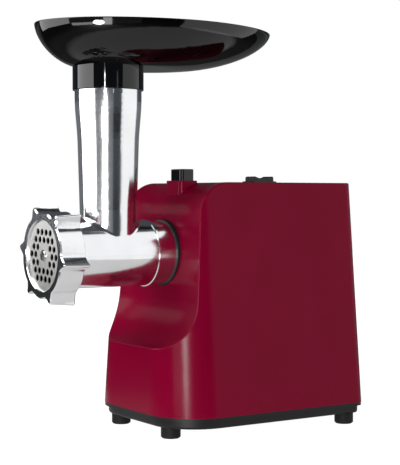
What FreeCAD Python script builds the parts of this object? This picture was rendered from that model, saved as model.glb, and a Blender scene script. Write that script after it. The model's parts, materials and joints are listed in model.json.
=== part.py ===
import FreeCAD
import Part
import math
import os

# Electric meat grinder, in millimetres, +Z up, cutting head towards -Y, standing on z = 0.
# It is drawn with y = 0 at the foot of the housing's front wall. Each piece is moved by SHIFT_Y
# as it is saved, which puts the origin on the floor below the middle of the whole machine.

# ---------------------------------------------------------------- driving dimensions
AXIS_Z = 128.6            # height of the cutting head's axis
PLATE_R = 27.0            # the 54 mm mincing plate that sets the size of the head
HOUSING_Z0 = 16.0         # lower edge of the housing
HOUSING_TOP = 179.5
HALF_WIDTH = 65.1         # half width of the housing at its lower edge
LENGTH = 165.6            # length of the housing at its lower edge
SIDE_DRAFT = 5.0          # degrees the walls lean in
FRONT_DRAFT = 1.8
REAR_DRAFT = 0.4
FRONT_CORNER_R = 37.0
REAR_CORNER_R = 8.0
WALL = 2.6
BASE_Z0 = 7.9             # underside of the base plate, where the feet begin
FLANGE_Z0 = 13.7          # underside of the base plate's flush flange
FOOT_R = 7.0
FOOT_SPOTS = [(35.1, 12.7), (54.8, 152.9)]

TUBE_Y = -17.5            # axis of the feed tube
TUBE_TOP = 261.0
TUBE_BORE_R = 18.0
TRAY_HALF_X = 61.7
TRAY_HALF_Y = 93.7
TRAY_MID_Y = 22.1
TRAY_RIM_Z = 289.8
TRAY_FLOOR_Z = 260.4
TRAY_WALL = 2.4
COLLAR_R = 25.1
COLLAR_Z0 = 244.0

TUBE_RELIEF_R = 18.4      # foot of the feed tube's bore, which is drafted above the worm
TUBE_WALL_Z0 = 153.0      # the straight stretch of the feed tube's bore
TUBE_WALL_Z1 = 214.0
BARREL_R = 23.5
BARREL_BORE_R = 21.3
SPIGOT_R = 22.75          # rear end of the head, which plugs into the socket
SPIGOT_END_Y = 44.0
THREAD_R = 28.4           # front end of the head, under the ring nut
NUT_FRONT_Y = -70.3
NUT_REAR_Y = -51.5
PLATE_FRONT_Y = -68.4
PLATE_THICK = 6.4
PIN_R = 4.0               # worm's front pin, which runs in the plate
RUNNING = 0.05            # radial clearance of a shaft in its bush

BUTTON_TRAVEL = 5.0
MOTOR_Z = 66.0
MOTOR_BOLTS = [(18.0, MOTOR_Z + 29), (-18.0, MOTOR_Z - 29)]     # x and z
INLET_LIP = 1.6           # how far the cord inlet stands behind the housing
SHIFT_Y = -(LENGTH + INLET_LIP + TRAY_MID_Y - TRAY_HALF_Y) / 2

V = FreeCAD.Vector
ALONG_Y = V(0, 1, 0)
DEG = math.pi / 180


# ---------------------------------------------------------------- helpers
def block(x0, x1, y0, y1, z0, z1):
    return Part.makeBox(x1 - x0, y1 - y0, z1 - z0, V(x0, y0, z0))


def rod(r, y0, y1, x=0.0, z=AXIS_Z):
    """Cylinder along Y."""
    return Part.makeCylinder(r, y1 - y0, V(x, y0, z), ALONG_Y)


def sleeve(r_out, r_in, y0, y1, x=0.0, z=AXIS_Z):
    return rod(r_out, y0, y1, x, z).cut(rod(r_in, y0, y1, x, z))


def post(r, x, y, z0, z1):
    """Cylinder along Z."""
    return Part.makeCylinder(r, z1 - z0, V(x, y, z0))


def fuse(shapes):
    return shapes[0].fuse(shapes[1:]).removeSplitter()


def group(shapes):
    return Part.makeCompound(shapes)


def polygon(points):
    return Part.makePolygon(points + [points[0]])


def prism(points, direction):
    return Part.Face(polygon(points)).extrude(direction)


def turned_y(profile, z=AXIS_Z):
    """Solid of revolution about the line along Y at height z, from (y, radius) points."""
    points = [V(0, y, z + r) for y, r in profile]
    return Part.Face(polygon(points)).revolve(V(0, 0, z), ALONG_Y, 360)


def turned_z(profile, x, y):
    """Solid of revolution about a vertical line, from (radius, z) points."""
    points = [V(x + r, y, z) for r, z in profile]
    return Part.Face(polygon(points)).revolve(V(x, y, 0), V(0, 0, 1), 360)


def rounded_outline(half, front, rear, front_r, rear_r, z):
    """Closed wire of a rectangle across X with its own front and rear corner radii."""
    def corner(cx, cy, r, start):
        mid = (start + 45) * DEG
        end = (start + 90) * DEG
        start = start * DEG
        points = [V(cx + r * math.cos(a), cy + r * math.sin(a), z) for a in (start, mid, end)]
        return Part.Arc(*points).toShape()

    arcs = [
        corner(half - front_r, front + front_r, front_r, -90),
        corner(half - rear_r, rear - rear_r, rear_r, 0),
        corner(rear_r - half, rear - rear_r, rear_r, 90),
        corner(front_r - half, front + front_r, front_r, 180),
    ]
    edges = []
    for index, arc in enumerate(arcs):
        nearest = arcs[(index + 1) % 4]
        edges += [arc, Part.makeLine(arc.Vertexes[-1].Point, nearest.Vertexes[0].Point)]
    return Part.Wire(edges)


def rounded_block(half_x, y0, y1, z0, z1, radius):
    """Block across X with rounded upright corners."""
    wire = rounded_outline(half_x, y0, y1, radius, radius, z0)
    return Part.Face(wire).extrude(V(0, 0, z1 - z0))


def soften(shape, edges, radius):
    """Fillet the edges that the kernel accepts, one pass for all and otherwise one by one."""
    try:
        rounded = shape.makeFillet(radius, edges)
        if rounded.isValid() and rounded.Volume > 0:
            return rounded
    except Part.OCCError:
        pass
    print("  fillet of", radius, "mm not made")
    return shape


def top_edges(shape):
    """Edges that lie whole in the shape's top plane."""
    return [e for e in shape.Edges if e.BoundBox.ZMin > shape.BoundBox.ZMax - 0.1]


def save(name, shape):
    placed = shape.copy()
    placed.translate(V(0, SHIFT_Y, 0))
    placed.exportStep("parts/" + name + ".step")
    valid = placed.isValid()
    print(name, "solids", len(placed.Solids), "cm3", round(placed.Volume / 1000, 2), "valid", valid)


# ---------------------------------------------------------------- housing
def wall_outline(z, inset):
    """Outline of the drafted housing at height z, moved in by inset."""
    rise = z - HOUSING_Z0
    lean = rise * math.tan(SIDE_DRAFT * DEG)
    front = rise * math.tan(FRONT_DRAFT * DEG) + inset
    rear = LENGTH - rise * math.tan(REAR_DRAFT * DEG) - inset
    front_r = FRONT_CORNER_R - 0.3 * lean - inset
    return rounded_outline(HALF_WIDTH - lean - inset, front, rear, front_r, REAR_CORNER_R - inset, z)


def scoop_section(x, inset):
    """Side view of the scooped front at x: concave foot, leaning wall, convex shoulder, flat top."""
    reach = max(abs(x) - 26.0, 0.0) / 26.0
    side = reach * reach                          # 0 across the middle, about 1 at the edges
    lean = (3.6 + 0.25 * side) * DEG
    foot_r = 36.5 + 2.2 * side + inset
    shoulder_r = 27.0 - 4.0 * side - inset
    top = HOUSING_TOP - inset
    foot_z = 95.0
    wall_y = 25.7 - 3.0 * side + inset
    foot_c = V(x, wall_y - foot_r * math.cos(lean), foot_z + foot_r * math.sin(lean))
    shoulder_z = top - shoulder_r + shoulder_r * math.sin(lean)
    shoulder_y = wall_y + (shoulder_z - foot_z) * math.tan(lean)
    shoulder_c = V(x, shoulder_y + shoulder_r * math.cos(lean), top - shoulder_r)

    def on_foot(angle):
        return foot_c + V(0, math.cos(angle), math.sin(angle)) * foot_r

    def on_shoulder(angle):
        return shoulder_c + V(0, -math.cos(angle), math.sin(angle)) * shoulder_r

    foot = Part.Arc(on_foot(-90 * DEG), on_foot(-45 * DEG), on_foot(-lean)).toShape()
    wall = Part.makeLine(on_foot(-lean), on_shoulder(lean))
    shoulder = Part.Arc(on_shoulder(lean), on_shoulder(45 * DEG), on_shoulder(90 * DEG)).toShape()
    roof = Part.makeLine(on_shoulder(90 * DEG), V(x, LENGTH + 20, top))
    return Part.Wire([foot, wall, shoulder, roof])


def housing_form(inset, z0):
    """Solid of the housing's outer shape, or of its cavity when inset is the wall thickness."""
    over = HOUSING_TOP + 12
    form = Part.makeLoft([wall_outline(z0, inset), wall_outline(over, inset)], True, True)
    stations = [-70, -60, -52, -44, -36, -28, -14, 0, 14, 28, 36, 44, 52, 60, 70]
    skin = Part.makeLoft([scoop_section(x, inset) for x in stations], False, False)
    outward = V(0, -120, 120)
    cutters = [face.extrude(outward) for face in skin.Faces]
    return form.cut(cutters)


BOSS = dict(half=11.0, y0=36.2, y1=52.0, top=181.0)
BUTTON = dict(half=8.0, y0=38.7, y1=50.3, z0=168.0, top=189.4)
SWITCH = dict(half=7.5, y0=102.9, y1=125.7, top=181.0)
SOCKET_R = 24.05
CORD_SPOT = (-36.0, 34.0)     # x and z of the cord inlet in the rear wall
VENT_ROWS = [58 + 7 * row for row in range(7)]
SCREW_TURNS = [a * DEG for a in (45, 135, 225, 315)]
SOCKET_SCREWS = [(27 * math.cos(a), AXIS_Z + 27 * math.sin(a)) for a in SCREW_TURNS]
SCREW_TIP_Y = 30.8             # the holes stop inside the front wall


def make_housing():
    outer = housing_form(0.0, HOUSING_Z0)
    crease = [e for e in outer.Edges if e.BoundBox.ZMin > 56]
    outer = soften(outer, crease, 1.2)
    shell = outer.cut(housing_form(WALL, HOUSING_Z0))
    boss = rounded_block(BOSS["half"], BOSS["y0"], BOSS["y1"], 165, BOSS["top"], 3.6)
    boss = soften(boss, top_edges(boss), 0.6)
    collar = rod(30, 27, 33).common(outer)
    shell = fuse([shell, boss, collar])
    for x, y in FOOT_SPOTS:
        rib_y = sorted((y, y + math.copysign(20, y - LENGTH / 2)))
        for side in (-1, 1):
            rib = block(side * x - 1.5, side * x + 1.5, *rib_y, HOUSING_Z0, 40).common(outer)
            shell = fuse([shell, rib, post(4.6, side * x, y, HOUSING_Z0, 40)])
    gap = 0.3
    hole = rounded_block(BUTTON["half"] + gap, BUTTON["y0"] - gap, BUTTON["y1"] + gap, 150, 195, 2.8)
    shell = shell.cut(hole)
    shell = shell.cut(rod(SOCKET_R + 0.1, 15, 40))
    shell = shell.cut(block(-6.9, 6.9, SWITCH["y0"] + 1.2, SWITCH["y1"] - 1.2, 170, 185))
    for x, y in FOOT_SPOTS:
        for side in (-1, 1):
            shell = shell.cut(post(1.5, side * x, y, 10, 34))
    for z in VENT_ROWS:
        shell = shell.cut(block(-30, 30, LENGTH - 8, LENGTH + 5, z, z + 3))
    shell = shell.cut(rod(5.0, LENGTH - 8, LENGTH + 5, *CORD_SPOT))
    for x, z in SOCKET_SCREWS:
        shell = shell.cut(rod(1.2, SCREW_TIP_Y - 0.3, 40, x, z))
    return shell.removeSplitter()


def make_base_plate():
    flange = Part.Face(wall_outline(HOUSING_Z0, 0.25)).extrude(V(0, 0, FLANGE_Z0 - HOUSING_Z0))
    tub = Part.Face(wall_outline(HOUSING_Z0, 3.0)).extrude(V(0, 0, BASE_Z0 - HOUSING_Z0))
    low = [e for e in tub.Edges if e.BoundBox.ZMax < BASE_Z0 + 0.1]
    tub = soften(tub, low, 1.8)
    plate = fuse([flange, tub])
    plate = plate.cut(Part.Face(wall_outline(HOUSING_Z0 + 1, 6.0)).extrude(V(0, 0, -6.6)))
    for x, y in FOOT_SPOTS:
        for side in (-1, 1):
            plate = plate.fuse(post(6.0, side * x, y, BASE_Z0 + 0.5, HOUSING_Z0))
            plate = plate.cut(post(1.9, side * x, y, 0, 20))
    for row in range(9):
        y = 40 + row * 7
        plate = plate.cut([block(-50, -22, y, y + 3, 0, 20), block(22, 50, y, y + 3, 0, 20)])
    return plate.removeSplitter()


def make_feet():
    profile = [
        (1.9, 3.6), (1.9, BASE_Z0), (FOOT_R, BASE_Z0), (FOOT_R, 1.0), (FOOT_R - 1, 0.0),
        (3.4, 0.0), (3.4, 3.6),
    ]
    return group([turned_z(profile, s * x, y) for x, y in FOOT_SPOTS for s in (-1, 1)])


def make_base_screws():
    def screw(x, y):
        head = turned_z([(0, 1.6), (2.4, 1.6), (3.1, 2.6), (3.1, 3.6), (0, 3.6)], x, y)
        return fuse([head, post(1.5, x, y, 3.6, 30)])

    return group([screw(s * x, y) for x, y in FOOT_SPOTS for s in (-1, 1)])


def make_cord_inlet():
    """Rubber bush that lines the cord's hole, with no cord in it."""
    x, z = CORD_SPOT
    y = LENGTH
    profile = [(y - 6, 3.6), (y - 6, 6.6), (y - 3.4, 6.6), (y - 3.4, 4.95), (y + 0.1, 4.95), (y + 0.1, 6.6),
               (y + INLET_LIP, 6.2), (y + INLET_LIP, 3.6)]
    bush = turned_y(profile, z)
    bush.translate(V(x, 0, 0))
    return bush


# ---------------------------------------------------------------- switch, button and latch
SWITCH_MID_Y = (SWITCH["y0"] + SWITCH["y1"]) / 2
ROCKER_PIVOT_Z = 178.0


def rocker_pivot(r, half):
    return Part.makeCylinder(r, 2 * half, V(-half, SWITCH_MID_Y, ROCKER_PIVOT_Z), V(1, 0, 0))


def make_switch_bezel():
    frame = rounded_block(SWITCH["half"], SWITCH["y0"], SWITCH["y1"], HOUSING_TOP, SWITCH["top"], 1.5)
    frame = soften(frame, top_edges(frame), 0.9)
    body = block(-6.8, 6.8, SWITCH["y0"] + 1.3, SWITCH["y1"] - 1.3, 160, HOUSING_TOP)
    whole = fuse([frame, body])
    whole = whole.cut(block(-6.1, 6.1, SWITCH_MID_Y - 9.8, SWITCH_MID_Y + 9.8, 174.5, 190))
    whole = whole.cut(rocker_pivot(1 + RUNNING, 6.6))
    tabs = [block(-3, 3, SWITCH_MID_Y + dy - 0.4, SWITCH_MID_Y + dy + 0.4, 152, 160.5) for dy in (-6, 0, 6)]
    return fuse([whole] + tabs)


def make_rocker():
    """Saddle-backed key of a three-position switch, thumb rests at both ends."""
    y = SWITCH_MID_Y
    half = 9.2
    end = 184.6
    dip = 183.0
    shoulder = end - 1.2
    half_x = 5.9
    bottom = 177.0

    def at(dy, z):
        return V(-half_x, y + dy, z)

    def end_arc(side):
        outermost = at(side * half, shoulder)
        middle = at(side * (half - 0.4), end - 0.35)
        return Part.Arc(outermost, middle, at(side * (half - 1.6), end)).toShape()

    saddle = Part.Arc(at(1.6 - half, end), at(0, dip), at(half - 1.6, end)).toShape()
    front = Part.makeLine(at(-half, bottom), at(-half, shoulder))
    rear = Part.makeLine(at(half, shoulder), at(half, bottom))
    under = Part.makeLine(at(half, bottom), at(-half, bottom))
    wire = Part.Wire([front, end_arc(-1), saddle, end_arc(1), rear, under])
    key = Part.Face(wire).extrude(V(2 * half_x, 0, 0))
    crown = [e for e in key.Edges if e.BoundBox.XLength < 0.1 and e.BoundBox.ZMin > dip - 0.1]
    return fuse([soften(key, crown, 0.5), rocker_pivot(1, 6.5)])


def make_button():
    cap = rounded_block(BUTTON["half"], BUTTON["y0"], BUTTON["y1"], BUTTON["z0"], BUTTON["top"], 2.6)
    return soften(cap, top_edges(cap), 0.7)


LATCH_Y0 = 40.0
LATCH_Y1 = 43.0
LATCH_BAR_Z = AXIS_Z - SOCKET_R - 0.5     # top of the frame's lower bar
TOOTH_TOP_Z = AXIS_Z - 21.2
SPRING_SEAT_Z = 78.0
SPRING_TOP_Z = LATCH_BAR_Z - 7


def make_latch_frame():
    """Ring round the socket. It hangs from the button and its tooth stops the head from turning."""
    r = SOCKET_R + 0.5
    top = AXIS_Z + r + BUTTON_TRAVEL
    plate = block(-r - 5, r + 5, LATCH_Y0, LATCH_Y1, SPRING_TOP_Z, top + 4.5)
    hole = fuse([
        rod(r, 30, 50),
        rod(r, 30, 50, 0, AXIS_Z + BUTTON_TRAVEL + 0.2),
        block(-r, r, 30, 50, AXIS_Z, AXIS_Z + BUTTON_TRAVEL + 0.2),
    ])
    tooth = block(-3, 3, LATCH_Y0, LATCH_Y1, LATCH_BAR_Z - 2, TOOTH_TOP_Z)
    stem = block(-6, 6, LATCH_Y0, LATCH_Y1, top + 2, BUTTON["z0"])
    return fuse([plate.cut(hole), tooth, stem])


def make_return_spring():
    turns_r = 3.6
    wire_r = 0.6
    low = SPRING_SEAT_Z + wire_r
    height = SPRING_TOP_Z - wire_r - low
    helix = Part.makeHelix(height / 5, height, turns_r)
    circle = Part.Wire(Part.makeCircle(wire_r, V(turns_r, 0, 0), ALONG_Y))
    coil = Part.Wire(helix).makePipeShell([circle], True, True)
    coil.translate(V(0, (LATCH_Y0 + LATCH_Y1) / 2, low))
    return coil


# ---------------------------------------------------------------- socket and gearbox
# Spots are (x, z) of the shafts, which all run along Y.
MOTOR_SPOT = (0.0, MOTOR_Z)
OUT_SPOT = (0.0, AXIS_Z)
GEAR_PLAY = 0.12          # thinning of each tooth flank, mm
STAGE_1 = dict(module=0.8, small=10, large=62, y0=70.0, y1=76.0)
STAGE_2 = dict(module=1.0, small=12, large=50, y0=61.5, y1=68.5)
STAGE_3 = dict(module=1.25, small=12, large=44, y0=51.0, y1=60.0)


def centre_distance(stage):
    return stage["module"] * (stage["small"] + stage["large"]) / 2


def first_spot():
    angle = 50 * DEG
    d = centre_distance(STAGE_1)
    return (MOTOR_SPOT[0] - d * math.sin(angle), MOTOR_SPOT[1] + d * math.cos(angle))


def second_spot():
    """Where the circles of the two neighbouring centre distances cross, on the +X side."""
    x1, z1 = first_spot()
    x2, z2 = OUT_SPOT
    r1 = centre_distance(STAGE_2)
    r2 = centre_distance(STAGE_3)
    d = math.hypot(x2 - x1, z2 - z1)
    along = (r1 * r1 - r2 * r2 + d * d) / (2 * d)
    across = math.sqrt(r1 * r1 - along * along)
    ux, uz = (x2 - x1) / d, (z2 - z1) / d
    return (x1 + along * ux + across * uz, z1 + along * uz - across * ux)


FIRST_SPOT = first_spot()
SECOND_SPOT = second_spot()


def bearing_angle(start, end):
    return math.atan2(end[1] - start[1], end[0] - start[0])


def gear(stage, which, spot, tooth_angle):
    """Spur gear with trapezoid teeth, one of them centred on tooth_angle in the X-Z plane."""
    m = stage["module"]
    count = stage[which]
    pitch_r = m * count / 2
    tip_r = pitch_r + 0.9 * m
    root_r = pitch_r - 1.2 * m
    half_pitch = (math.pi * m / 4 - GEAR_PLAY) / pitch_r
    half_tip = half_pitch - 0.9 * m * math.tan(20 * DEG) / tip_r
    half_root = half_pitch + 1.0 * m * math.tan(12 * DEG) / root_r
    points = []
    for tooth in range(count):
        a = tooth_angle + 2 * math.pi * tooth / count
        corners = [(root_r, -half_root), (pitch_r, -half_pitch), (tip_r, -half_tip)]
        corners += [(r, -offset) for r, offset in reversed(corners)]
        for r, offset in corners:
            x = spot[0] + r * math.cos(a + offset)
            z = spot[1] + r * math.sin(a + offset)
            points.append(V(x, stage["y0"], z))
    return prism(points, V(0, stage["y1"] - stage["y0"], 0))


def mesh_angles(stage, start, end):
    """Tooth angles of the small gear at start and the large gear at end, so that they mesh."""
    angle = bearing_angle(start, end)
    return angle, angle + math.pi + math.pi / stage["large"]


def gear_shaft(r, y0, y1, spot):
    return rod(r, y0, y1, spot[0], spot[1])


LOBES = [(MOTOR_SPOT, 14.0), (FIRST_SPOT, 26.2), (SECOND_SPOT, 27.0), (OUT_SPOT, 29.5)]
CASE_WALL = 2.6


def case_lobes(extra, y0, y1):
    return fuse([rod(r + extra, y0, y1, *spot) for spot, r in LOBES])


def lug_spot(lobe, degrees):
    """Place of a screw lug beside one lobe of the gearbox case."""
    spot, r = LOBES[lobe]
    reach = r + CASE_WALL + 2.6
    return (spot[0] + reach * math.cos(degrees * DEG), spot[1] + reach * math.sin(degrees * DEG))


SCREW_LUGS = [lug_spot(3, 20), lug_spot(3, 160), lug_spot(1, 225), lug_spot(0, -35)]
BUSH_R = 7.0
OUT_NOSE_R = 11.0


def make_gearbox_case():
    case = case_lobes(CASE_WALL, 46, 79).cut(case_lobes(0, 49.6, 79))
    for x, z in SCREW_LUGS:
        case = case.fuse(rod(4.2, 66, 79, x, z).cut(case_lobes(0.5, 60, 79)))
    shelf = block(-8, 8, LATCH_Y0 - 2, 46.5, SPRING_SEAT_Z - 3, SPRING_SEAT_Z)
    bosses = [rod(BUSH_R + 2.4, 46, 50.6, *spot) for spot in (FIRST_SPOT, SECOND_SPOT)]
    case = fuse([case, shelf] + bosses)
    for spot in (FIRST_SPOT, SECOND_SPOT):
        case = case.cut(rod(BUSH_R, 40, 52, *spot))
    case = case.cut(rod(OUT_NOSE_R + 3, 40, 52))
    for x, z in SCREW_LUGS:
        case = case.cut(rod(1.6, 60, 80, x, z))
    return case.removeSplitter()


def make_gearbox_cover():
    lugs = [rod(4.2, 79, 82, x, z) for x, z in SCREW_LUGS]
    bosses = [rod(12.5, 79, 86, *MOTOR_SPOT), rod(11, 78, 82, *OUT_SPOT)]
    flange = rod(38, 79, 82, *MOTOR_SPOT)
    cover = fuse([case_lobes(CASE_WALL, 79, 82), flange] + lugs + bosses)
    for spot in (FIRST_SPOT, SECOND_SPOT, OUT_SPOT):
        cover = cover.cut(rod(BUSH_R, 77, 84, *spot))
    cover = cover.cut(rod(9.5, 77, 84, *MOTOR_SPOT))
    cover = cover.cut(rod(5, 77, 88, *MOTOR_SPOT))
    for x, z in SCREW_LUGS:
        cover = cover.cut(rod(1.8, 77, 84, x, z))
    for spot in MOTOR_BOLTS:
        cover = cover.cut(rod(2, 77, 84, *spot))
    return cover.removeSplitter()


def make_gearbox_screws():
    def screw(x, z):
        return fuse([rod(1.5, 64, 82, x, z), rod(3.0, 82, 84.4, x, z)])

    return group([screw(x, z) for x, z in SCREW_LUGS])


def make_gear_bushes():
    """Sintered bushes of the two middle shafts and of the output shaft."""
    bushes = [sleeve(BUSH_R, 4 + RUNNING, 46.2, 50.6, *spot) for spot in (FIRST_SPOT, SECOND_SPOT)]
    bushes += [sleeve(BUSH_R, 4 + RUNNING, 78.5, 82, *spot) for spot in (FIRST_SPOT, SECOND_SPOT)]
    bushes.append(sleeve(OUT_NOSE_R + 3, OUT_NOSE_R + RUNNING, 46, 49.8))
    bushes.append(sleeve(BUSH_R, 5 + RUNNING, 78, 82))
    return group(bushes)


def make_first_gear():
    tooth = mesh_angles(STAGE_1, MOTOR_SPOT, FIRST_SPOT)[1]
    wheel = gear(STAGE_1, "large", FIRST_SPOT, tooth)
    return wheel.cut(gear_shaft(4, 60, 80, FIRST_SPOT))


def make_first_shaft():
    tooth = mesh_angles(STAGE_2, FIRST_SPOT, SECOND_SPOT)[0]
    long_stage = dict(STAGE_2, y1=STAGE_1["y0"])
    return fuse([gear(long_stage, "small", FIRST_SPOT, tooth), gear_shaft(4, 47, 81.5, FIRST_SPOT)])


def make_second_gear():
    tooth = mesh_angles(STAGE_2, FIRST_SPOT, SECOND_SPOT)[1]
    wheel = gear(STAGE_2, "large", SECOND_SPOT, tooth)
    return wheel.cut(gear_shaft(4, 55, 75, SECOND_SPOT))


def make_second_shaft():
    tooth = mesh_angles(STAGE_3, SECOND_SPOT, OUT_SPOT)[0]
    long_stage = dict(STAGE_3, y1=STAGE_2["y0"])
    return fuse([gear(long_stage, "small", SECOND_SPOT, tooth), gear_shaft(4, 47, 81.5, SECOND_SPOT)])


def make_output_gear():
    tooth = mesh_angles(STAGE_3, SECOND_SPOT, OUT_SPOT)[1]
    return gear(STAGE_3, "large", OUT_SPOT, tooth).cut(rod(8, 45, 65))


DRIVE_FLATS = 6.0         # half width of the auger's hexagonal tail


def hexagon_bar(half, y0, y1):
    points = [V(half / math.cos(30 * DEG) * math.cos(k * 60 * DEG), y0,
                AXIS_Z + half / math.cos(30 * DEG) * math.sin(k * 60 * DEG)) for k in range(6)]
    return prism(points, V(0, y1 - y0, 0))


def make_output_shaft():
    """Shaft with the hexagonal cup that drives the auger."""
    profile = [
        (33, 0), (33, OUT_NOSE_R), (50.4, OUT_NOSE_R), (50.4, 8), (62, 8), (62, 5), (81.5, 5), (81.5, 0),
    ]
    return turned_y(profile).cut(hexagon_bar(DRIVE_FLATS + 0.08, 30, 47.5))


def make_head_socket():
    """Ring that holds the head's spigot; its front edge shows as a black ring round the head."""
    body = sleeve(SOCKET_R, SPIGOT_R + 0.06, 25.5, 46)
    flange = sleeve(30, SPIGOT_R + 0.06, 33, 36)
    for x, z in SOCKET_SCREWS:
        flange = flange.cut(rod(1.2, 30, 40, x, z))
    lip = [e for e in body.Edges if e.BoundBox.YMax < 25.6 and e.BoundBox.XMax > SPIGOT_R + 0.5]
    socket = fuse([soften(body, lip, 0.5), flange])
    return socket.cut(block(-4, 4, LATCH_Y0 - 0.5, LATCH_Y1 + 0.5, AXIS_Z - 30, AXIS_Z - 15))


def make_socket_screws():
    return group([
        fuse([rod(1.2, SCREW_TIP_Y, 36, x, z), rod(2.2, 36, 37.4, x, z)]) for x, z in SOCKET_SCREWS
    ])


# ---------------------------------------------------------------- motor
STACK_Y0 = 98.0
STACK_Y1 = 132.0


def make_stator():
    stack = block(-38, 38, STACK_Y0, STACK_Y1, MOTOR_Z - 33, MOTOR_Z + 33)
    upright = [e for e in stack.Edges if e.BoundBox.YLength > 30]
    stack = soften(stack, upright, 10)
    stack = stack.cut(rod(21.5, 90, 140, *MOTOR_SPOT))
    for side in (-1, 1):
        for up in (-1, 1):
            x = sorted((side * 23.5, side * 34.5))
            z = sorted((MOTOR_Z + up * 13.5, MOTOR_Z + up * 26.5))
            stack = stack.cut(block(*x, 90, 140, *z))
    for spot in MOTOR_BOLTS:
        stack = stack.cut(rod(2.1, 90, 140, *spot))
    return stack


def make_field_coils():
    def coil(side):
        x = sorted((side * 24, side * 34))
        loop = block(*x, STACK_Y0 - 7, STACK_Y1 + 7, MOTOR_Z - 26, MOTOR_Z + 26)
        ends = [e for e in loop.Edges if e.BoundBox.XLength > 9]
        loop = soften(loop, ends, 5)
        inner = sorted((side * 20, side * 36))
        return loop.cut(block(*inner, STACK_Y0 - 0.5, STACK_Y1 + 0.5, MOTOR_Z - 14, MOTOR_Z + 14))

    return group([coil(-1), coil(1)])


def make_rotor_shaft():
    tooth = mesh_angles(STAGE_1, MOTOR_SPOT, FIRST_SPOT)[0]
    pinion = gear(dict(STAGE_1, y0=69.8, y1=77.5), "small", MOTOR_SPOT, tooth)
    return fuse([pinion, rod(3, 77, 80, *MOTOR_SPOT), rod(4, 79.5, 158.5, *MOTOR_SPOT)])


def make_rotor_core():
    core = sleeve(20.8, 4, STACK_Y0, STACK_Y1, *MOTOR_SPOT)
    for k in range(12):
        a = k * 30 * DEG
        x = MOTOR_SPOT[0] + 16.5 * math.cos(a)
        z = MOTOR_SPOT[1] + 16.5 * math.sin(a)
        slot = rod(2.2, 90, 140, x, z)
        mouth = block(-0.9, 0.9, 90, 140, 16, 24)
        mouth.rotate(V(0, 0, 0), ALONG_Y, 90 - k * 30)
        mouth.translate(V(MOTOR_SPOT[0], 0, MOTOR_SPOT[1]))
        core = core.cut(slot.fuse(mouth))
    return core


def make_rotor_windings():
    profile = [(0, 4), (0, 13), (1.5, 17.5), (4.5, 18.5), (4.5, 4)]
    front = turned_y([(STACK_Y0 - 4.5 + y, r) for y, r in profile], MOTOR_Z)
    rear = turned_y([(STACK_Y1 + 4.5 - y, r) for y, r in profile], MOTOR_Z)
    return group([front, rear])


def make_commutator():
    ring = sleeve(11, 4, 139, 150, *MOTOR_SPOT)
    for k in range(24):
        gap = block(-0.25, 0.25, 139.5, 151, 10, 12)
        gap.rotate(V(0, 0, 0), ALONG_Y, k * 15)
        gap.translate(V(MOTOR_SPOT[0], 0, MOTOR_SPOT[1]))
        ring = ring.cut(gap)
    return ring


def make_cooling_fan():
    hub = sleeve(8, 4, 87, 92.5, *MOTOR_SPOT)
    disc = sleeve(22, 4, 87, 88.2, *MOTOR_SPOT)
    blades = []
    for k in range(9):
        blade = block(-0.6, 0.6, 87, 92.5, 7, 22)
        blade.rotate(V(0, 0, 0), ALONG_Y, k * 40)
        blade.translate(V(MOTOR_SPOT[0], 0, MOTOR_SPOT[1]))
        blades.append(blade)
    return fuse([hub, disc] + blades)


def make_motor_bearings():
    front = sleeve(9.5, 4 + RUNNING, 79.6, 84, *MOTOR_SPOT)
    rear = sleeve(7, 4 + RUNNING, 154, 159, *MOTOR_SPOT)
    return group([front, rear])


def make_rear_bracket():
    bar = block(-23, 23, 156, 159.6, MOTOR_Z - 33, MOTOR_Z + 33)
    boss = rod(10, 153, 159.6, *MOTOR_SPOT)
    legs = [block(x - 4, x + 4, STACK_Y1, 156, z - 4, z + 4) for x, z in MOTOR_BOLTS]
    bracket = fuse([bar, boss] + legs)
    bracket = bracket.cut(rod(7, 150, 159, *MOTOR_SPOT))
    for spot in MOTOR_BOLTS:
        bracket = bracket.cut(rod(2.1, 130, 161, *spot))
    return bracket


def make_motor_bolts():
    """Long bolts through the rear bracket and the stator into the gearbox cover."""
    def bolt(spot):
        return fuse([rod(2, 79.3, 159.6, *spot), rod(3.5, 159.6, 161.6, *spot)])

    return group([bolt(spot) for spot in MOTOR_BOLTS])


def make_brush_holders():
    def holder(side):
        x = sorted((side * 12.5, side * 30))
        body = block(*x, 140, 149, MOTOR_Z - 5, MOTOR_Z + 5)
        bore = sorted((side * 10, side * 28))
        arm_x = sorted((side * 12.5, side * 16))
        arm = block(*arm_x, 149, 156, MOTOR_Z - 5, MOTOR_Z + 5)
        tie_x = sorted((side * 9, side * 16))
        tie = block(*tie_x, 154.5, 156, MOTOR_Z - 5, MOTOR_Z + 5).cut(rod(10, 150, 160, *MOTOR_SPOT))
        return fuse([body.cut(block(*bore, 141.2, 147.8, MOTOR_Z - 3.2, MOTOR_Z + 3.2)), arm, tie])

    return group([holder(-1), holder(1)])


def make_carbon_brushes():
    def brush(side):
        x = sorted((side * 8, side * 22))
        bar = block(*x, 141.3, 147.7, MOTOR_Z - 3.1, MOTOR_Z + 3.1)
        return bar.cut(rod(11.06, 135, 155, *MOTOR_SPOT))

    return group([brush(-1), brush(1)])


def make_motor_cradle():
    """Plastic saddle that carries the motor on the base plate."""
    saddle = block(-30, 30, 102, 128, 10.4, MOTOR_Z - 33)
    return saddle.cut(block(-24, 24, 95, 135, 10, MOTOR_Z - 37))


# ---------------------------------------------------------------- cutting head
def flared_tube_profile():
    """(radius, z) of the feed tube's outside: a slight taper below, a soft flare above."""
    points = [(20.2, AXIS_Z), (20.3, 160.0), (21.6, 205.0)]
    steps = 8
    for k in range(1, steps + 1):
        t = k / steps
        points.append((21.6 + 2.04 * t * t * (3 - 2 * t) + 0.4 * t * (1 - t), 205.0 + 35 * t))
    return points + [(23.64, TUBE_TOP)]


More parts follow.
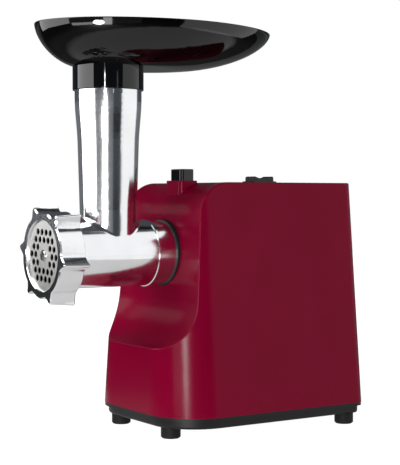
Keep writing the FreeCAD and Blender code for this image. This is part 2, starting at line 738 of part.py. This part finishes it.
def make_head_casting():
    outside = [
        (-66, 0), (-66, THREAD_R - 0.8), (-65.2, THREAD_R), (-53, THREAD_R), (-48.5, BARREL_R),
        (10.3, BARREL_R), (10.8, BARREL_R + 0.6), (12.4, BARREL_R + 0.6), (12.9, SPIGOT_R),
        (SPIGOT_END_Y - 1, SPIGOT_R), (SPIGOT_END_Y, SPIGOT_R - 1), (SPIGOT_END_Y, 0),
    ]
    barrel = turned_y(outside)
    tube = turned_z([(0, AXIS_Z)] + flared_tube_profile() + [(0, TUBE_TOP)], 0, TUBE_Y)
    body = barrel.fuse(tube)
    above = [e for e in body.Edges if 140 < e.BoundBox.ZMin and e.BoundBox.ZMax < 158]
    seam = [e for e in above if e.BoundBox.XLength > 20]
    body = soften(body, seam, 3.5)
    inside = [
        (-70, 0), (-70, PLATE_R + 0.1), (-62, PLATE_R + 0.1), (-62, 25.2), (-56, 25.2), (-54, BARREL_BORE_R),
        (24, BARREL_BORE_R), (24, 19), (50, 19), (50, 0),
    ]
    body = body.cut(turned_y(inside))
    bore = [
        (0, AXIS_Z), (TUBE_RELIEF_R, AXIS_Z), (TUBE_RELIEF_R, TUBE_WALL_Z0 - 1), (TUBE_BORE_R, TUBE_WALL_Z0),
        (TUBE_BORE_R, TUBE_WALL_Z1), (21.5, 240), (21.5, 270), (0, 270),
    ]
    body = body.cut(turned_z(bore, 0, TUBE_Y))
    body = body.cut(block(-3.3, 3.3, LATCH_Y0 - 1.5, 50, AXIS_Z - 30, AXIS_Z - 20.7))
    key = rod(2.0, -65.6, -62, 0, AXIS_Z - PLATE_R - 0.3).common(rod(28, -70, -60))
    ring = post(24.9, 0, TUBE_Y, 240.9, 243.5).cut(post(22.5, 0, TUBE_Y, 240.9, 243.5))
    lugs = ring.common(block(-40, 40, TUBE_Y - 8.4, TUBE_Y + 4.2, 230, 250))
    return fuse([body, key, lugs])


def plate_hole_spots():
    """Thirty holes: a hexagonal field of four rings with the centre and first ring left out."""
    pitch = 6.2
    spots = []
    for row in range(-3, 4):
        for k in range(7 - abs(row)):
            x = (k - (6 - abs(row)) / 2) * pitch
            z = row * pitch * math.sin(60 * DEG)
            if math.hypot(x, z) > 1.5 * pitch:
                spots.append((x, z))
    return spots


def make_mincing_plate():
    plate = rod(PLATE_R, PLATE_FRONT_Y, PLATE_FRONT_Y + PLATE_THICK)
    rim = [e for e in plate.Edges if e.BoundBox.XLength > 50 and e.BoundBox.YLength < 0.1]
    plate = soften(plate, rim, 0.5)
    turn = 2.6 * DEG
    holes = []
    for x, z in plate_hole_spots():
        hx = x * math.cos(turn) + z * math.sin(turn)
        hz = z * math.cos(turn) - x * math.sin(turn)
        holes.append(rod(2.25, -70, -60, hx, AXIS_Z + hz))
    plate = plate.cut(holes)
    plate = plate.cut(rod(PIN_R + RUNNING, -70, -60))
    return plate.cut(rod(2.3, -70, -60, 0, AXIS_Z - PLATE_R - 0.3))


def make_knife():
    hub = rod(8.5, -61.9, -57.6)
    blades = []
    for k in range(4):
        points = [V(-4.5, 0, 6), V(4.2, 0, 6), V(2.2, 0, 24.2), V(-4.5, 0, 23.6)]
        blade = prism(points, V(0, 3.2, 0))
        blade.translate(V(0, -61.9, 0))
        blade.rotate(V(0, 0, 0), ALONG_Y, 45 + k * 90)
        blade.translate(V(0, 0, AXIS_Z))
        blades.append(blade)
    knife = fuse([hub] + blades)
    return knife.cut(block(-4.6, 4.6, -65, -55, AXIS_Z - 4.6, AXIS_Z + 4.6))


FLIGHT_R = 20.8
PIN_SHANK_R = 3.5
PIN_SHANK_END_Y = -40.0
WORM_FRONT_Y = -57.5


def make_auger():
    """Cast worm, with its drive tail at the rear and a bore for the pin at the front."""
    core = [
        (WORM_FRONT_Y, 0), (WORM_FRONT_Y, 7.5), (-54, 8), (8, 11.5), (10, FLIGHT_R), (12.8, FLIGHT_R),
        (12.8, 10), (26, 10), (26, 5.5), (31, 5.5), (31, 0),
    ]
    tail = hexagon_bar(DRIVE_FLATS, 30, 46)
    worm = fuse([turned_y(core), tail, auger_flight()])
    return worm.cut(rod(PIN_SHANK_R, WORM_FRONT_Y - 1, PIN_SHANK_END_Y))


def make_auger_pin():
    """Steel pin that runs in the plate, with the square that carries the knife."""
    square_y = -61.9
    front = PLATE_FRONT_Y - 1.2
    half = 4.5
    pin = turned_y([
        (front, 0), (front, PIN_R - 0.7), (front + 0.7, PIN_R), (square_y, PIN_R), (square_y, half),
        (WORM_FRONT_Y, half), (WORM_FRONT_Y, PIN_SHANK_R),
        (PIN_SHANK_END_Y, PIN_SHANK_R), (PIN_SHANK_END_Y, 0),
    ])
    square = block(-half, half, square_y, WORM_FRONT_Y, AXIS_Z - half, AXIS_Z + half)
    slot = block(-0.7, 0.7, front - 1, front + 1.4, -6, 6)
    slot.rotate(V(0, 0, 0), ALONG_Y, 20)
    slot.translate(V(0, 0, AXIS_Z))
    return fuse([pin, square]).cut(slot)


def auger_flight():
    """Worm thread round the auger's core."""
    pitch = 22.0
    length = 60.0
    helix = Part.makeHelix(pitch, length, 14)
    points = [V(8.2, 0, -1.6), V(FLIGHT_R, 0, -0.9), V(FLIGHT_R, 0, 0.9), V(8.2, 0, 1.6)]
    thread = Part.Wire(helix).makePipeShell([polygon(points)], True, True)
    thread.rotate(V(0, 0, 0), V(1, 0, 0), -90)
    thread.translate(V(0, -51.5, AXIS_Z))
    return thread


def make_auger_bush():
    return sleeve(BARREL_BORE_R, 10 + RUNNING, 14, 24)


def nut_outline(core_r, tip_r, y):
    """Round nut with six narrow grip ridges, and lobes between them that bulge to core_r."""
    first = -21.0
    foot, side, flank, crown = 11.0, 7.7, 4.3, 2.0          # degrees from the middle of a ridge
    rise = tip_r - core_r
    low_r = core_r - 0.5
    foot_r = core_r + 0.12 * rise
    flank_r = core_r + 0.50 * rise
    crown_r = tip_r - 0.35

    def at(r, degrees):
        return V(r * math.sin(degrees * DEG), y, AXIS_Z + r * math.cos(degrees * DEG))

    def half_ridge(a, turn):
        """Foot, flank and half of what lies beside them, on the side that turn points to."""
        middle = at(low_r + 0.08 * rise, a + turn * (foot + side) / 2)
        hollow = Part.Arc(at(low_r, a + turn * foot), middle, at(foot_r, a + turn * side))
        low, high = at(foot_r, a + turn * side), at(crown_r, a + turn * crown)
        slope = Part.Arc(low, at(flank_r, a + turn * flank), high)
        return hollow, slope

    arcs = []
    for k in range(6):
        a = first + 60 * k
        up_hollow, up_slope = half_ridge(a, -1)
        down_hollow, down_slope = half_ridge(a, 1)
        top = Part.Arc(at(crown_r, a - crown), at(tip_r, a), at(crown_r, a + crown))
        lobe = Part.Arc(at(low_r, a + foot), at(core_r, a + 30), at(low_r, a + 60 - foot))
        arcs += [up_hollow, up_slope, top, down_slope, down_hollow, lobe]
    return Part.Wire([arc.toShape() for arc in arcs])


def make_ring_nut():
    bevel = 1.0
    bevel_depth = 0.9
    rear_chamfer = 0.6
    body = Part.makeLoft([
        nut_outline(30.1 - bevel, 35.1 - bevel, NUT_FRONT_Y),
        nut_outline(30.1, 35.1, NUT_FRONT_Y + bevel_depth),
        nut_outline(30.3, 36.7, NUT_REAR_Y - rear_chamfer),
        nut_outline(30.3 - rear_chamfer, 36.7 - rear_chamfer, NUT_REAR_Y),
    ], True, True)
    body = body.cut(rod(THREAD_R + 0.06, PLATE_FRONT_Y - 0.05, -40))
    mouth = [
        (NUT_FRONT_Y - 2, 0), (NUT_FRONT_Y - 2, 25.1), (NUT_FRONT_Y, 25.1), (NUT_FRONT_Y + 0.6, 24.5),
        (-60, 24.5), (-60, 0),
    ]
    return body.cut(turned_y(mouth)).removeSplitter()


# ---------------------------------------------------------------- tray
def tray_oval(scale, z, inset):
    """Closed smooth oval of the tray at a fraction of its rim's size."""
    power = 2 / 1.85
    half_x = TRAY_HALF_X * scale - inset
    half_y = TRAY_HALF_Y * scale - inset
    mid_y = TRAY_MID_Y - 40.5 * (1 - scale)
    points = []
    for k in range(32):
        a = 2 * math.pi * k / 32
        c, s = math.cos(a), math.sin(a)
        x = half_x * math.copysign(abs(c) ** power, c)
        y = mid_y + half_y * math.copysign(abs(s) ** power, s)
        points.append(V(x, y, z))
    curve = Part.BSplineCurve()
    curve.interpolate(points, PeriodicFlag=True)
    return Part.Wire(curve.toShape())


def bowl(inset, floor_z, rim_z):
    """Solid bowl from a flat floor of 0.4 of the rim's size up to the rim."""
    floor_scale = 0.4
    power = 2 / 1.7
    wires = []
    for k in range(9):
        a = (1 - k / 8) * math.pi / 2
        scale = floor_scale + (1 - floor_scale) * math.cos(a) ** power
        wires.append(tray_oval(scale, rim_z - (rim_z - floor_z) * math.sin(a) ** power, inset))
    return Part.makeLoft(wires, True, False)


def make_tray():
    outer = bowl(0, TRAY_FLOOR_Z, TRAY_RIM_Z)
    inner = bowl(TRAY_WALL, TRAY_FLOOR_Z + TRAY_WALL, TRAY_RIM_Z + 0.01)
    neck = post(COLLAR_R, 0, TUBE_Y, COLLAR_Z0, TRAY_FLOOR_Z + 6)
    neck = soften(neck, [e for e in neck.Edges if e.BoundBox.ZMax < COLLAR_Z0 + 0.1], 0.6)
    tray = outer.fuse(neck).cut(inner)
    rim = [e for e in tray.Edges if e.BoundBox.ZMin > TRAY_RIM_Z - 0.1]
    tray = soften(tray, rim, 0.7)
    tray = tray.cut(post(23.7, 0, TUBE_Y, COLLAR_Z0 - 1, TUBE_TOP + 0.1))
    tray = tray.cut(post(21.6, 0, TUBE_Y, COLLAR_Z0 - 1, TRAY_RIM_Z))
    for turn in (-14, 166):
        slit = block(22, 27, -0.5, 0.5, COLLAR_Z0 - 1, COLLAR_Z0 + 12)
        slit.rotate(V(0, 0, 0), V(0, 0, 1), turn)
        slit.translate(V(0, TUBE_Y, 0))
        tray = tray.cut(slit)
    return tray


PIECES = {
    "housing": make_housing,
    "base_plate": make_base_plate,
    "rubber_feet": make_feet,
    "base_screws": make_base_screws,
    "cord_inlet": make_cord_inlet,
    "switch_bezel": make_switch_bezel,
    "switch_rocker": make_rocker,
    "release_button": make_button,
    "latch_frame": make_latch_frame,
    "return_spring": make_return_spring,
    "head_socket": make_head_socket,
    "socket_screws": make_socket_screws,
    "gearbox_case": make_gearbox_case,
    "gearbox_cover": make_gearbox_cover,
    "gearbox_screws": make_gearbox_screws,
    "gear_bushes": make_gear_bushes,
    "first_gear": make_first_gear,
    "first_shaft": make_first_shaft,
    "second_gear": make_second_gear,
    "second_shaft": make_second_shaft,
    "output_gear": make_output_gear,
    "output_shaft": make_output_shaft,
    "stator_stack": make_stator,
    "field_coils": make_field_coils,
    "rotor_shaft": make_rotor_shaft,
    "rotor_core": make_rotor_core,
    "rotor_windings": make_rotor_windings,
    "commutator": make_commutator,
    "cooling_fan": make_cooling_fan,
    "motor_bearings": make_motor_bearings,
    "rear_bracket": make_rear_bracket,
    "motor_bolts": make_motor_bolts,
    "brush_holders": make_brush_holders,
    "carbon_brushes": make_carbon_brushes,
    "motor_cradle": make_motor_cradle,
    "head_casting": make_head_casting,
    "mincing_plate": make_mincing_plate,
    "knife": make_knife,
    "auger": make_auger,
    "auger_pin": make_auger_pin,
    "auger_bush": make_auger_bush,
    "ring_nut": make_ring_nut,
    "tray": make_tray,
}

os.makedirs("parts", exist_ok=True)
for name, make in PIECES.items():
    save(name, make())
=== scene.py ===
import json
import math

import bpy
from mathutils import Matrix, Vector

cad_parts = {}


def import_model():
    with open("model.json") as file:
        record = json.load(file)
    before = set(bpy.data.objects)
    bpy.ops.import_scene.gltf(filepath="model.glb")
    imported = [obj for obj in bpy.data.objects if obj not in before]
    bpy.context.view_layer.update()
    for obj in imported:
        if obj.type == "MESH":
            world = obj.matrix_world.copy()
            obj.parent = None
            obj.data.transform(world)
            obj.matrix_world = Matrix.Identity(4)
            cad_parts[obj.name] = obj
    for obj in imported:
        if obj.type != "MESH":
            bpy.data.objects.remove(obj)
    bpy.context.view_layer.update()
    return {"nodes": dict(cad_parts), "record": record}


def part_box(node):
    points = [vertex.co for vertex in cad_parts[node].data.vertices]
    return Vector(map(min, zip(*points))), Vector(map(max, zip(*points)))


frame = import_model()
nodes = frame["nodes"]

# The camera stands level with the top of the housing, to the right of the cutting head.
CAMERA_AZIMUTH = math.radians(56.89)      # from -Y towards +X
CAMERA_PITCH = math.radians(-1.56)
CAMERA_DISTANCE = 0.9569
CAMERA_HEIGHT = 0.1687
AIM_Y = 0.0123                            # the camera circles round the upright line at (0, AIM_Y)
LENS = 99.8


# ---------------------------------------------------------------- node helpers
class Graph:
    """A new material with short calls for the nodes it needs."""

    def __init__(self, name):
        self.material = bpy.data.materials.new(name)
        self.material.use_nodes = True
        self.tree = self.material.node_tree
        self.shader = self.tree.nodes["Principled BSDF"]
        self.place = self.add("ShaderNodeTexCoord").outputs["Object"]

    def add(self, kind, **settings):
        node = self.tree.nodes.new(kind)
        for key, value in settings.items():
            setattr(node, key, value)
        return node

    def link(self, source, target):
        self.tree.links.new(source, target)

    def set(self, **values):
        for key, value in values.items():
            self.shader.inputs[key.replace("_", " ")].default_value = value

    def stretched(self, scale):
        """The object's own coordinates, scaled per axis."""
        mapping = self.add("ShaderNodeMapping")
        mapping.inputs["Scale"].default_value = scale
        self.link(self.place, mapping.inputs["Vector"])
        return mapping.outputs["Vector"]

    def noise(self, size, detail=2.0, where=None):
        """Noise whose features are about size metres across."""
        node = self.add("ShaderNodeTexNoise")
        node.inputs["Scale"].default_value = 1.0 / size
        node.inputs["Detail"].default_value = detail
        self.link(where or self.place, node.inputs["Vector"])
        return node.outputs["Fac"]

    def ramp(self, source, low, high, start=0.3, end=0.7):
        """Source from start to end becomes a value from low to high."""
        node = self.add("ShaderNodeMapRange")
        for key, value in (("From Min", start), ("From Max", end), ("To Min", low), ("To Max", high)):
            node.inputs[key].default_value = value
        self.link(source, node.inputs["Value"])
        return node.outputs["Result"]

    def colour(self, source, low, high):
        """Base colour that goes from low to high with source."""
        node = self.add("ShaderNodeMix", data_type="RGBA")
        self.link(self.ramp(source, 0.0, 1.0), node.inputs["Factor"])
        node.inputs["A"].default_value = (*low, 1.0)
        node.inputs["B"].default_value = (*high, 1.0)
        self.link(node.outputs["Result"], self.shader.inputs["Base Color"])

    def paint_shade(self, source, dark):
        """Painted shade: where source is 0 the base colour becomes dark."""
        target = self.shader.inputs["Base Color"]
        bright = target.links[0].from_socket
        node = self.add("ShaderNodeMix", data_type="RGBA")
        self.link(source, node.inputs["Factor"])
        node.inputs["A"].default_value = (*dark, 1.0)
        self.link(bright, node.inputs["B"])
        self.link(node.outputs["Result"], target)

    def roughness(self, source, low, high):
        self.link(self.ramp(source, low, high), self.shader.inputs["Roughness"])

    def bump(self, source, depth):
        """Relief of depth metres from source."""
        node = self.add("ShaderNodeBump")
        node.inputs["Distance"].default_value = depth
        node.inputs["Strength"].default_value = 1.0
        self.link(source, node.inputs["Height"])
        self.link(node.outputs["Normal"], self.shader.inputs["Normal"])


# ---------------------------------------------------------------- materials
def red_plastic():
    """Housing: through-coloured, with the fine grain of a spark-eroded mould."""
    g = Graph("red_plastic")
    g.set(Specular_IOR_Level=0.085, IOR=1.46)
    g.colour(g.noise(0.05), (0.152, 0.0003, 0.0158), (0.164, 0.0005, 0.0174))
    g.roughness(g.noise(0.004), 0.18, 0.22)
    g.bump(g.noise(0.0006, 1.0), 0.000012)
    return g.material


def grey_plastic():
    g = Graph("grey_plastic")
    g.set(Specular_IOR_Level=0.3)
    g.colour(g.noise(0.03), (0.0035, 0.0035, 0.004), (0.006, 0.0055, 0.0065))
    g.roughness(g.noise(0.003), 0.36, 0.46)
    g.bump(g.noise(0.0006, 1.0), 0.000016)
    return g.material


def black_gloss():
    """Tray and button: high-gloss moulding with the faint unevenness of a large flat part."""
    g = Graph("black_gloss")
    g.set(Specular_IOR_Level=0.5, IOR=1.5)
    g.colour(g.noise(0.02), (0.0010, 0.0010, 0.0010), (0.0014, 0.0014, 0.0014))
    g.roughness(g.noise(0.006), 0.035, 0.06)
    g.bump(g.noise(0.035, 1.0), 0.00006)
    return g.material


def black_satin():
    g = Graph("black_satin")
    g.colour(g.noise(0.02), (0.010, 0.010, 0.011), (0.014, 0.014, 0.015))
    g.roughness(g.noise(0.002), 0.30, 0.40)
    g.bump(g.noise(0.0005, 1.0), 0.00001)
    return g.material


def black_nylon():
    g = Graph("black_nylon")
    g.colour(g.noise(0.01), (0.008, 0.008, 0.009), (0.014, 0.014, 0.015))
    g.roughness(g.noise(0.002), 0.35, 0.55)
    g.bump(g.noise(0.0008, 3.0), 0.00002)
    return g.material


def natural_nylon():
    g = Graph("natural_nylon")
    g.set(Subsurface_Weight=0.1, Subsurface_Scale=0.002)
    g.colour(g.noise(0.015), (0.56, 0.53, 0.45), (0.66, 0.63, 0.56))
    g.roughness(g.noise(0.002), 0.40, 0.55)
    g.bump(g.noise(0.001, 3.0), 0.00002)
    return g.material


def black_rubber():
    g = Graph("black_rubber")
    g.set(Specular_IOR_Level=0.2)
    g.colour(g.noise(0.008), (0.005, 0.005, 0.0055), (0.009, 0.009, 0.010))
    g.roughness(g.noise(0.003), 0.55, 0.70)
    g.bump(g.noise(0.0005, 2.0), 0.00002)
    return g.material


def metal_graph(name, low, high, rough, grain, depth, scale=(1, 1, 1)):
    """Bare metal with long or even marks of its last tool."""
    g = Graph(name)
    g.set(Metallic=1.0)
    g.colour(g.noise(0.02), low, high)
    marks = g.noise(grain, 3.0, g.stretched(scale))
    g.roughness(marks, *rough)
    g.bump(marks, depth)
    return g


def metal(*settings):
    return metal_graph(*settings).material


def polished_aluminium():
    return metal("polished_aluminium", (0.86, 0.86, 0.87), (0.90, 0.90, 0.91),
                 (0.12, 0.16), 0.002, 0.000003)


def cast_aluminium():
    return metal("cast_aluminium", (0.82, 0.82, 0.83), (0.87, 0.87, 0.88),
                 (0.12, 0.16), 0.002, 0.000004)


# Painted shade: how far behind the plate's outer face the steel's base colour starts to turn dark, and
# where it is fully dark.
SHADE_START = 0.0002
SHADE_END = 0.0009


def plate_steel():
    """Ground steel, bright on the plate's outer face; painted shade makes it dark in its holes and on all
    that lies behind.
    """
    g = metal_graph("plate_steel", (0.74, 0.73, 0.71), (0.80, 0.79, 0.77),
                    (0.34, 0.42), 0.001, 0.000006)
    outer_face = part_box("mincing_plate")[0][1]
    separate = g.add("ShaderNodeSeparateXYZ")
    g.link(g.place, separate.inputs[0])
    # Painted shade: the base colour goes from the bright steel on the outer face to near black behind it.
    lit = g.ramp(separate.outputs["Y"], 1.0, 0.0, outer_face + SHADE_START, outer_face + SHADE_END)
    g.paint_shade(lit, (0.02, 0.02, 0.02))
    return g.material


def machined_steel():
    return metal("machined_steel", (0.40, 0.40, 0.41), (0.50, 0.50, 0.51),
                 (0.22, 0.34), 0.0008, 0.000005)


def zinc_steel():
    return metal("zinc_steel", (0.55, 0.56, 0.58), (0.66, 0.66, 0.64),
                 (0.28, 0.40), 0.001, 0.000006)


def lamination_steel():
    """Stacked sheets half a millimetre thick, seen as fine lines across Y."""
    return metal("lamination_steel", (0.16, 0.16, 0.17), (0.24, 0.24, 0.25),
                 (0.40, 0.60), 0.02, 0.00004, (1, 40, 1))


def sintered_bronze():
    return metal("sintered_bronze", (0.45, 0.28, 0.13), (0.58, 0.38, 0.19),
                 (0.38, 0.52), 0.0006, 0.00001)


def copper():
    """Enamelled wire: the turns show as fine ridges."""
    return metal("copper", (0.60, 0.24, 0.10), (0.74, 0.34, 0.16),
                 (0.25, 0.38), 0.02, 0.00008, (30, 30, 30))


def carbon():
    g = Graph("carbon")
    g.colour(g.noise(0.002), (0.02, 0.02, 0.022), (0.05, 0.05, 0.052))
    g.roughness(g.noise(0.001), 0.60, 0.80)
    g.bump(g.noise(0.0006, 3.0), 0.00003)
    return g.material


def dress(node, material):
    """Give a CAD node one material."""
    mesh = nodes[node].data
    mesh.materials.clear()
    mesh.materials.append(material)


made = {make.__name__: make() for make in (
    red_plastic, grey_plastic, black_gloss, black_satin, black_nylon, natural_nylon, black_rubber,
    polished_aluminium, cast_aluminium, plate_steel, machined_steel, zinc_steel, lamination_steel,
    sintered_bronze, copper, carbon,
)}
for part in frame["record"]["subparts"]:
    dress(part["node"], made[part["material_slot"]])


# ---------------------------------------------------------------- floor and world
FLOOR_R = 3.0
TABLE_R = 0.38                            # the lit part of the floor, past which the studio is dark
TABLE_FADE = 0.03                         # its edge fades over this much to each side
TABLE_GLOW = 0.55
TABLE_MIDDLE = (0.14, 0.06, 0.0)
NEAR_WHITE = (0.15, 0.99)                 # distance from the table's middle, glow seen directly
FAR_WHITE = (0.9, 1.2)


def floor():
    """Pale floor. Seen directly it is near white; in reflections only the lit table shows."""
    bpy.ops.mesh.primitive_circle_add(vertices=96, radius=FLOOR_R, fill_type="NGON")
    disc = bpy.context.object
    disc.name = "floor"
    g = Graph("floor")
    g.set(Base_Color=(0.12, 0.12, 0.12, 1), Roughness=0.8, Specular_IOR_Level=0.1,
          Emission_Color=(1, 1, 1, 1))
    from_middle = g.add("ShaderNodeVectorMath", operation="DISTANCE")
    g.link(g.place, from_middle.inputs[0])
    from_middle.inputs[1].default_value = TABLE_MIDDLE
    distance = from_middle.outputs["Value"]
    glow = g.ramp(distance, TABLE_GLOW, 0.0, TABLE_R - TABLE_FADE, TABLE_R + TABLE_FADE)
    seen = g.ramp(distance, NEAR_WHITE[1], FAR_WHITE[1], NEAR_WHITE[0], FAR_WHITE[0])
    path = g.add("ShaderNodeLightPath")
    strength = g.add("ShaderNodeMix", data_type="FLOAT")
    g.link(path.outputs["Is Camera Ray"], strength.inputs["Factor"])
    g.link(glow, strength.inputs["A"])
    g.link(seen, strength.inputs["B"])
    g.link(strength.outputs["Result"], g.shader.inputs["Emission Strength"])
    disc.data.materials.append(g.material)


def world():
    """Dim blue-grey studio; seen directly it is plain white."""
    studio = bpy.data.worlds.new("studio")
    studio.use_nodes = True
    bpy.context.scene.world = studio
    tree = studio.node_tree
    dim = tree.nodes["Background"]
    dim.inputs["Color"].default_value = (0.056, 0.065, 0.076, 1)
    white = tree.nodes.new("ShaderNodeBackground")
    white.inputs["Color"].default_value = (1, 1, 1, 1)
    path = tree.nodes.new("ShaderNodeLightPath")
    mix = tree.nodes.new("ShaderNodeMixShader")
    tree.links.new(path.outputs["Is Camera Ray"], mix.inputs[0])
    tree.links.new(dim.outputs[0], mix.inputs[1])
    tree.links.new(white.outputs[0], mix.inputs[2])
    tree.links.new(mix.outputs[0], tree.nodes["World Output"].inputs["Surface"])


# ---------------------------------------------------------------- lights
# Lamps stand round the feed tube and face it.
feed_tube = next(mount for mount in frame["record"]["mounts"] if mount["name"] == "feed_tube")
tube_axis = Vector(feed_tube["pos_m"])

# name, angle round the tube, distance, half angle seen from the tube, lower and upper edge, radiance
PANELS = (
    ("left_panel", -75.7, 0.42, 33.3, 0.137, 1.3, 3.5),
    ("right_panel", 85.5, 0.48, 34.5, 0.0, 1.0, 1.0),
    ("fill_panel", -11, 0.66, 33, 0.0, 0.295, 0.13),
    ("far_panel", -118.5, 2.5, 6.3, 0.54, 1.36, 0.8),
    ("back_panel", 180, 0.5, 60, 0.08, 0.27, 0.10),
    ("front_panel", -11, 0.62, 5.2, 0.0, 0.175, 42, "ELLIPSE"),
    ("low_panel", -28, 0.64, 12, 0.0, 0.09, 4.0),
    ("wing_panel", -3, 0.62, 3.5, 0.0, 0.27, 6.0),
)

# A column of small lamps high in front of the tray.
KEY_LAMPS = 3
KEY_ANGLE = -6
KEY_DISTANCE = 1.25
KEY_HALF_ANGLE = 1.2
KEY_Z = 0.337
KEY_HEIGHT = 0.006
KEY_PITCH = 0.014
KEY_RADIANCE = 110


def toward(angle, elevation=0.0):
    """Unit vector at an angle round the camera's upright, 0 towards the camera, positive to its right."""
    a = CAMERA_AZIMUTH + angle
    level = math.cos(elevation)
    return Vector((math.sin(a) * level, -math.cos(a) * level, math.sin(elevation)))


def panel(name, angle, distance, half_angle, z0, z1, radiance, shape="RECTANGLE"):
    """Upright light panel that faces the feed tube, seen from there within half_angle of its middle."""
    out = toward(math.radians(angle)) * distance
    light = bpy.data.lights.new(name, "AREA")
    light.shape = shape
    light.size = 2 * distance * math.tan(math.radians(half_angle))
    light.size_y = z1 - z0
    area = light.size * light.size_y * (math.pi / 4 if shape == "ELLIPSE" else 1)
    light.energy = radiance * math.pi * area
    lamp = bpy.data.objects.new(name, light)
    lamp.location = (tube_axis.x + out.x, tube_axis.y + out.y, (z0 + z1) / 2)
    lamp.rotation_euler = (-out).to_track_quat("-Z", "Y").to_euler()
    lamp.visible_camera = False
    bpy.context.scene.collection.objects.link(lamp)


floor()
world()
for settings in PANELS:
    panel(*settings)
for step in range(KEY_LAMPS):
    bottom = KEY_Z + KEY_PITCH * step
    panel(f"key_lamp_{step}", KEY_ANGLE, KEY_DISTANCE, KEY_HALF_ANGLE,
          bottom, bottom + KEY_HEIGHT, KEY_RADIANCE)


# ---------------------------------------------------------------- camera
camera_data = bpy.data.cameras.new("camera")
camera_data.lens = LENS
camera = bpy.data.objects.new("camera", camera_data)
stand = toward(0.0) * CAMERA_DISTANCE
camera.location = (stand.x, stand.y + AIM_Y, CAMERA_HEIGHT)
look = toward(math.pi, CAMERA_PITCH)
camera.rotation_euler = look.to_track_quat("-Z", "Y").to_euler()
bpy.context.scene.collection.objects.link(camera)
bpy.context.scene.camera = camera
bpy.context.scene.view_settings.view_transform = "Standard"
